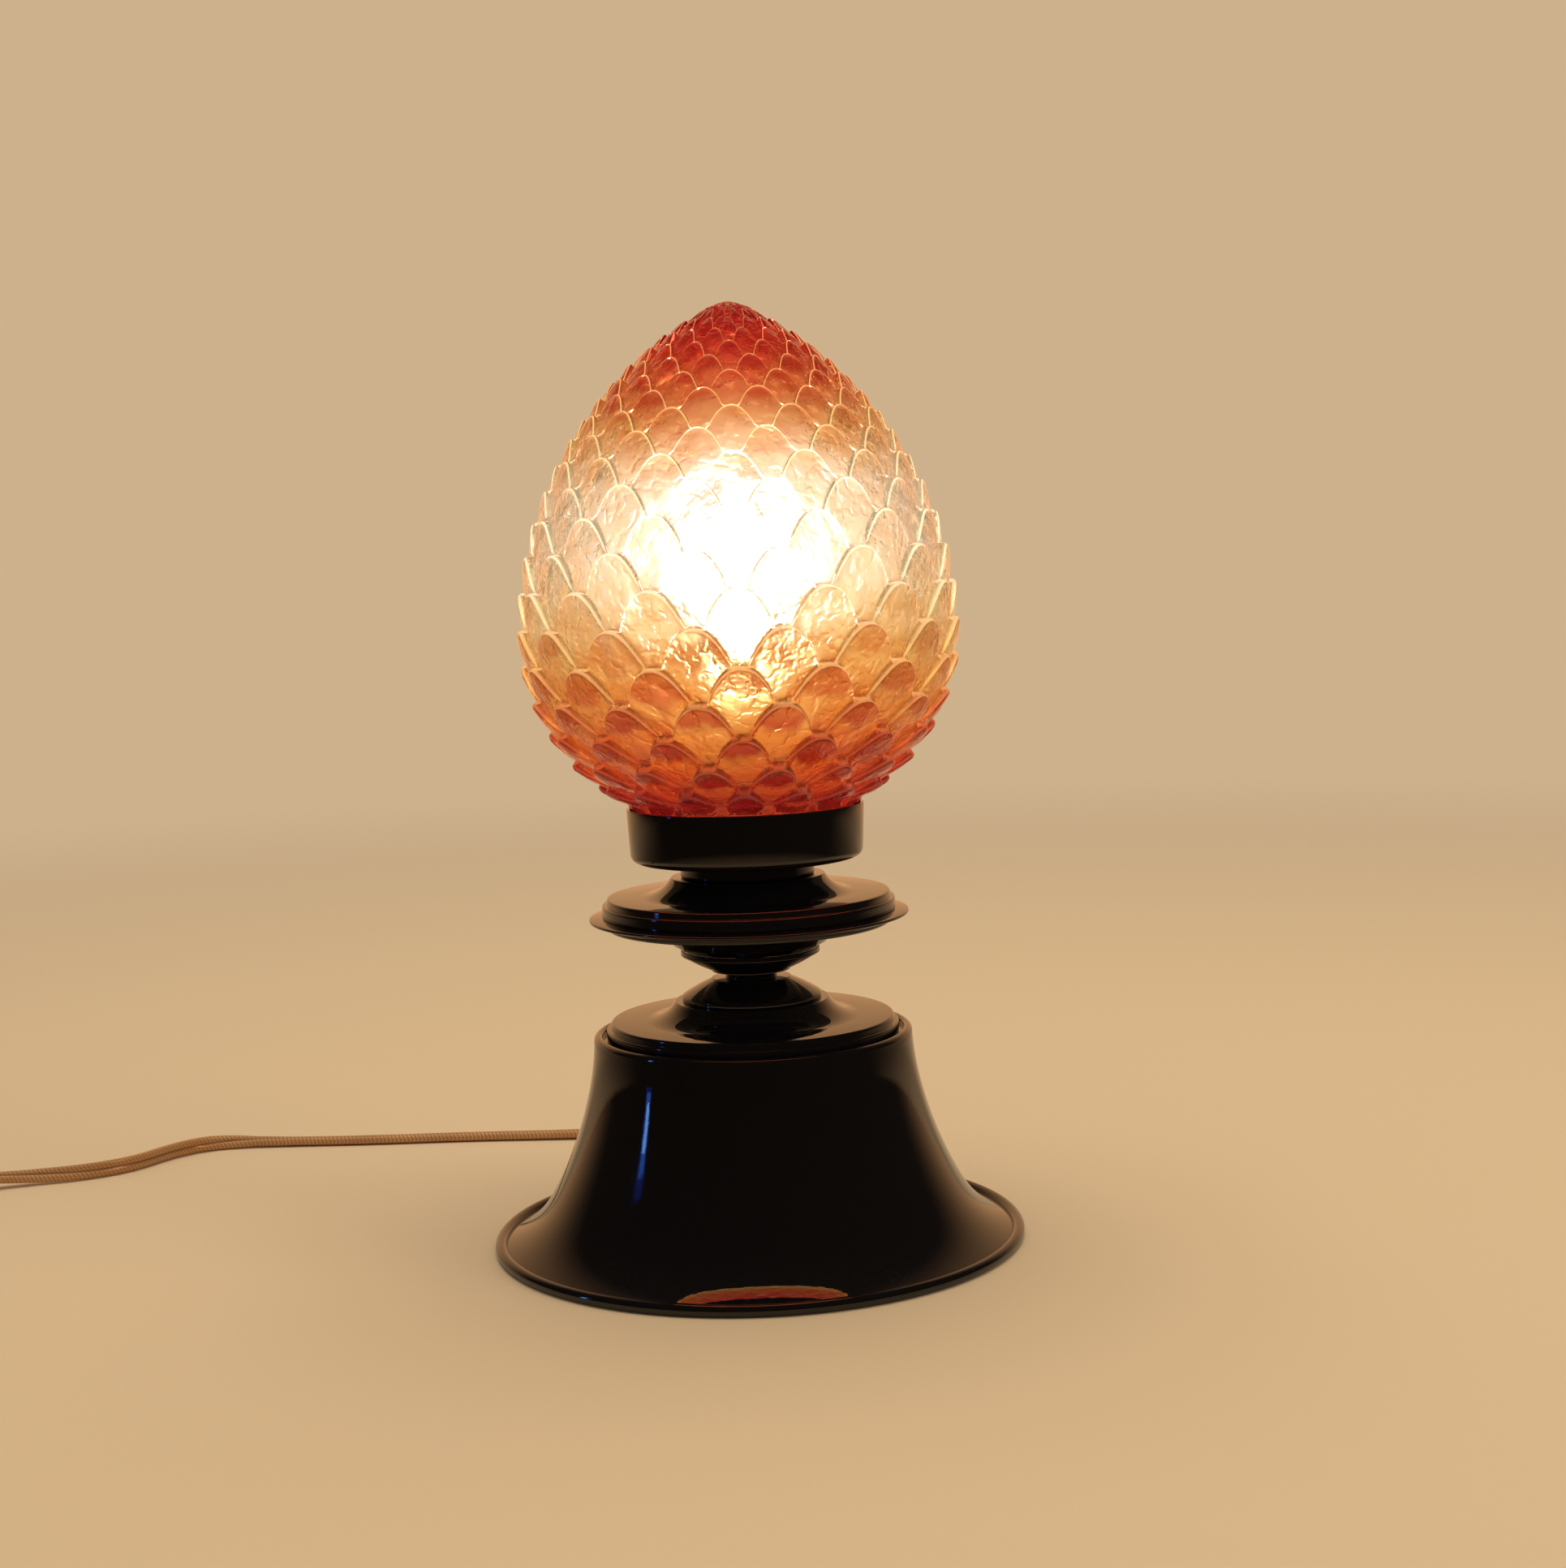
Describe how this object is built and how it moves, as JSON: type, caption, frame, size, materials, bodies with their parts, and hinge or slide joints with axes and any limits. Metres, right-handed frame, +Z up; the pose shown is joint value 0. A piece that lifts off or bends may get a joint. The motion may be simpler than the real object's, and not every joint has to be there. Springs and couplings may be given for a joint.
{
  "type": "table lamp",
  "caption": "Table lamp with a scaled egg-shaped glass shade in a metal cup on a flared bell base, with flex, hand switch and plug.",
  "frame": {"origin": "centre of the base on the surface that the lamp stands on", "axes": "+Z up along the lamp's axis; the flex leaves the base on the +Y side; -Y faces the viewer"},
  "size_m": [0.5095, 0.2506, 0.3185],
  "materials": {
    "black_enamel": "gloss",
    "amber_glass": "lightly textured gloss",
    "bulb_glass": "frosted",
    "steel": "satin",
    "nickel": "polished",
    "brass": "satin",
    "ceramic": "satin",
    "black_plastic": "satin",
    "black_glass": "gloss",
    "gasket_rubber": "matte",
    "felt": "matte",
    "hardboard": "matte",
    "gold_flex": "clear gold",
    "tungsten": "dull"
  },
  "bodies": {
    "lamp": {"base_bell": "black_enamel", "base_board": "hardboard", "base_felt": "felt", "bottom_washer": "steel", "bottom_nut": "steel", "threaded_rod": "steel", "rod_bushing": "black_plastic", "base_cover": "black_enamel", "lower_cup": "black_enamel", "neck_spacer": "black_enamel", "upper_cup": "black_enamel", "saucer_bottom": "black_enamel", "saucer_brim": "black_enamel", "saucer_cover": "black_enamel", "collar_spacer": "black_enamel", "glass_holder": "black_enamel", "holder_nut": "steel", "holder_gasket": "gasket_rubber", "glass_springs": "steel", "lampholder_cap": "ceramic", "lampholder_core": "ceramic", "lampholder_sleeve": "ceramic", "screw_shell": "brass", "centre_contact": "brass", "terminal_screws": "brass", "inner_lead": "gold_flex", "cord_grommet": "black_plastic", "cord_run": "gold_flex", "switch_base": "black_plastic", "switch_cover": "black_plastic", "switch_pin": "steel", "switch_contacts": "brass", "cord_link": "gold_flex", "cord_coil": "gold_flex", "cord_tail": "gold_flex", "plug_relief": "black_plastic", "plug_body": "black_plastic", "plug_pins": "nickel", "plug_sleeves": "black_plastic"},
    "shade": {"glass_shade": "amber_glass"},
    "bulb_carrier": {"bulb_tip": "brass"},
    "bulb": {"bulb_globe": "bulb_glass", "bulb_cap": "nickel", "bulb_insulator": "black_glass", "bulb_stem": "bulb_glass", "bulb_filament": "tungsten"},
    "rocker": {"switch_rocker": "black_plastic"}
  },
  "joints": [
    {"name": "shade_lift", "type": "slide", "parent": "lamp", "child": "shade", "axis": [0, 0, 1], "range_m": [0, 0.16]},
    {"name": "bulb_rise", "type": "slide", "parent": "lamp", "child": "bulb_carrier", "axis": [0, 0, 1], "range_m": [0, 0.0218]},
    {"name": "bulb_turn", "type": "hinge", "parent": "bulb_carrier", "child": "bulb", "pos_m": [0, 0, 0.17565], "axis": [0, 0, 1], "range_deg": [0, 2160]},
    {"name": "rocker_tip", "type": "hinge", "parent": "lamp", "child": "rocker", "pos_m": [-0.34631, 0.09101, 0.0134], "axis": [0.2095, -0.9778, 0], "range_deg": [-7, 7]}
  ],
  "couplings": [
    {"joint": "bulb_rise", "follows": "bulb_turn", "m_per_rad": 0.00057773}
  ]
}
